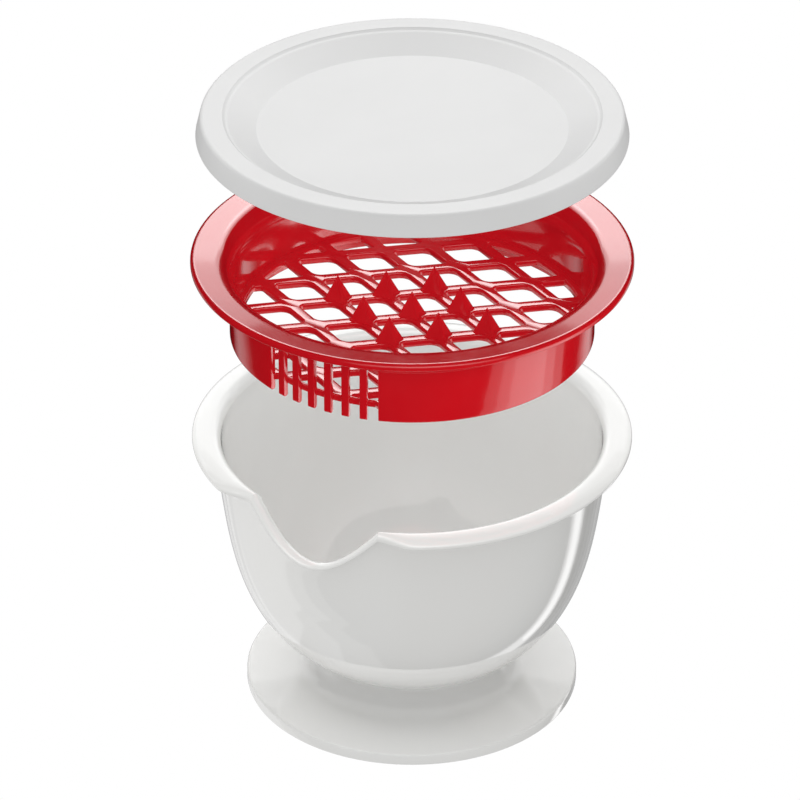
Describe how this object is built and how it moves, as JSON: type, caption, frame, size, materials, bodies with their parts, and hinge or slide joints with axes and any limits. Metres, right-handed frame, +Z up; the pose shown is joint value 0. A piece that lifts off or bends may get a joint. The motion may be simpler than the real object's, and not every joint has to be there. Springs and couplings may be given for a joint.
{
  "type": "footed sieve bowl",
  "caption": "Footed kitchen bowl with a pressed pouring spout, a spiked sieve insert for breaking fruit open over it, and a shallow lid, each lifting straight off.",
  "frame": {"origin": "centre of the foot's underside, on the surface the bowl stands on", "axes": "+Z up along the bowl's axis, -Y towards the pouring spout, +X to the right when the spout faces you"},
  "size_m": [0.1614, 0.1607, 0.2378],
  "materials": {
    "bowl_plastic": "glossy white, moulded",
    "insert_plastic": "glossy red, moulded",
    "lid_plastic": "satin white, moulded"
  },
  "bodies": {
    "bowl": {"bowl": "bowl_plastic"},
    "sieve_insert": {"sieve_insert": "insert_plastic"},
    "lid": {"lid": "lid_plastic"}
  },
  "joints": [
    {"name": "insert_lift", "type": "slide", "parent": "bowl", "child": "sieve_insert", "axis": [0, 0, 1], "range_m": [-0.0706, 0]},
    {"name": "lid_lift", "type": "slide", "parent": "sieve_insert", "child": "lid", "axis": [0, 0, 1], "range_m": [-0.0487, 0]}
  ]
}
